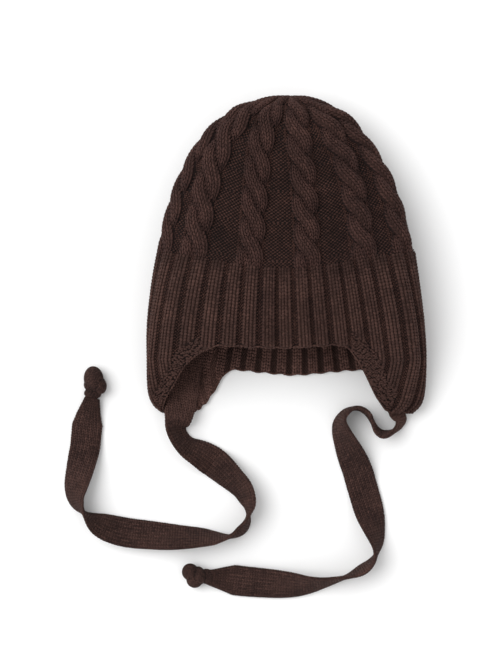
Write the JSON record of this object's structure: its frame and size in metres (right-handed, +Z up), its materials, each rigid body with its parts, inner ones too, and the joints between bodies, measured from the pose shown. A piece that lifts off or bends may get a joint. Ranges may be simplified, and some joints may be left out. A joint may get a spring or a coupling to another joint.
{
  "type": "baby hat",
  "caption": "Cable-knit baby hat with a deep ribbed band, two ear flaps and two flat knotted ties, lying on its back.",
  "frame": {"origin": "on the floor, under the middle of the hat's body as it lies on its back, ties left out", "axes": "+Z up from the floor, out of the hat's front; +Y along the hat, from the flaps to the top of the crown; +X to the right of someone looking down on the front"},
  "size_m": [0.2379, 0.3303, 0.0645],
  "materials": {
    "cable_knit": "fine wool knit, cables on a purl ground, matt with a soft fuzz",
    "rib_knit": "fine wool knit, two by two rib, matt with a soft fuzz",
    "tie_knit": "fine smooth stocking stitch, matt"
  },
  "bodies": {
    "root": {"crown": "cable_knit", "ribbed_band": "rib_knit", "tie_left": "tie_knit", "tie_right": "tie_knit", "knot_left": "tie_knit", "knot_right": "tie_knit"}
  },
  "joints": []
}
